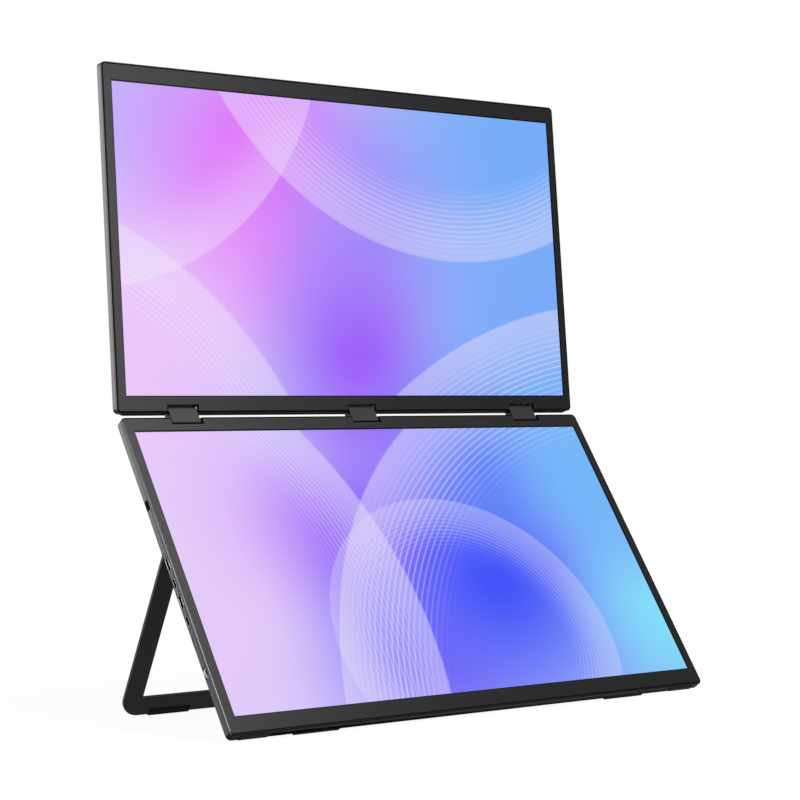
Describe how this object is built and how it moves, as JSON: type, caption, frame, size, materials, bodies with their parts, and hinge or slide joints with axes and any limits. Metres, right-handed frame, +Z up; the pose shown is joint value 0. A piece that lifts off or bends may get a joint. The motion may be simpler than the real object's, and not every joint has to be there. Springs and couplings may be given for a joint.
{
  "type": "dual portable monitor",
  "caption": "Folding dual-screen portable monitor: flat panels joined by double-axis hinge links, with a U-shaped rear stand, side sockets, power button and roller wheel.",
  "frame": {"origin": "middle of the base, on the surface that the monitor stands on", "axes": "+Z up; the screens face -Y; +X to the right of someone who faces the screens"},
  "size_m": [0.3567, 0.1512, 0.3966],
  "materials": {
    "case_metal": "grey anodised, bead blasted",
    "bezel_plastic": "fine satin",
    "screen_glass": "anti-glare, lit",
    "clear_acrylic": "polished",
    "tray_metal": "bare sheet",
    "board_laminate": "solder resist",
    "steel": "plated",
    "link_metal": "dark grey satin paint",
    "cable_jacket": "matte",
    "stand_metal": "black powder coat",
    "rubber": "moulded",
    "button_plastic": "satin",
    "wheel_metal": "bright, finely ribbed"
  },
  "bodies": {
    "lower_panel": {"lower_front_bezel": "bezel_plastic", "lower_screen": "screen_glass", "lower_light_guide": "clear_acrylic", "lower_backlight_tray": "tray_metal", "lower_driver_board": "board_laminate", "lower_back_cover": "case_metal", "lower_case_screws": "steel", "lower_hinge_screws": "steel", "lower_hinge_pins": "steel", "lower_hollow_hinge_pins": "steel", "lower_cable": "cable_jacket", "main_board": "board_laminate", "board_components": "board_laminate", "board_screws": "steel", "display_flat_cable": "board_laminate", "usb_c_socket_1": "steel", "usb_c_socket_2": "steel", "micro_hdmi_socket_1": "steel", "micro_hdmi_socket_2": "steel", "power_switch": "board_laminate", "wheel_switch": "board_laminate", "speaker_left": "board_laminate", "speaker_right": "board_laminate", "front_feet": "rubber", "rear_feet": "rubber", "stand_bracket_left": "steel", "stand_bracket_right": "steel", "stand_bracket_screws": "steel", "stand_pins": "steel", "lower_hinge_bracket_left": "steel", "lower_hinge_bracket_middle": "steel", "lower_hinge_bracket_right": "steel"},
    "upper_panel": {"upper_front_bezel": "bezel_plastic", "upper_screen": "screen_glass", "upper_light_guide": "clear_acrylic", "upper_backlight_tray": "tray_metal", "upper_driver_board": "board_laminate", "upper_back_cover": "case_metal", "upper_case_screws": "steel", "upper_hinge_screws": "steel", "upper_hinge_pins": "steel", "upper_hollow_hinge_pins": "steel", "upper_cable": "cable_jacket", "upper_hinge_bracket_left": "steel", "upper_hinge_bracket_middle": "steel", "upper_hinge_bracket_right": "steel"},
    "hinge_bridge": {"hinge_link_covers": "link_metal", "hinge_link_screws": "steel", "hinge_friction_clips": "steel", "hinge_cable": "cable_jacket", "hinge_link_left": "link_metal", "hinge_link_middle": "link_metal", "hinge_link_right": "link_metal"},
    "stand": {"stand_frame": "stand_metal", "stand_pads": "rubber"},
    "button": {"power_button": "button_plastic"},
    "carriage": {"wheel_carriage": "button_plastic"},
    "wheel": {"roller_wheel": "wheel_metal"}
  },
  "joints": [
    {"name": "lower_hinge", "type": "hinge", "parent": "lower_panel", "child": "hinge_bridge", "pos_m": [0, 0.05046, 0.17695], "axis": [1, 0, 0], "range_deg": [0, 90]},
    {"name": "upper_hinge", "type": "hinge", "parent": "hinge_bridge", "child": "upper_panel", "pos_m": [0, 0.05525, 0.18372], "axis": [1, 0, 0], "range_deg": [-30.65, 59.35]},
    {"name": "stand_hinge", "type": "hinge", "parent": "lower_panel", "child": "stand", "pos_m": [0, 0.00207, 0.09995], "axis": [1, 0, 0], "range_deg": [-64.37, 21.63]},
    {"name": "power_button_press", "type": "slide", "parent": "lower_panel", "child": "button", "axis": [1, 0, 0], "range_m": [0, 0.0004], "stiffness_N_per_m": 1500},
    {"name": "wheel_press", "type": "slide", "parent": "lower_panel", "child": "carriage", "axis": [1, 0, 0], "range_m": [0, 0.0003], "stiffness_N_per_m": 2000},
    {"name": "wheel_roll", "type": "hinge", "parent": "carriage", "child": "wheel", "pos_m": [-0.17475, -0.0486, 0.0367], "axis": [0, -0.8161, 0.5779], "range_deg": [-15, 15], "stiffness_Nm_per_rad": 0.02}
  ]
}
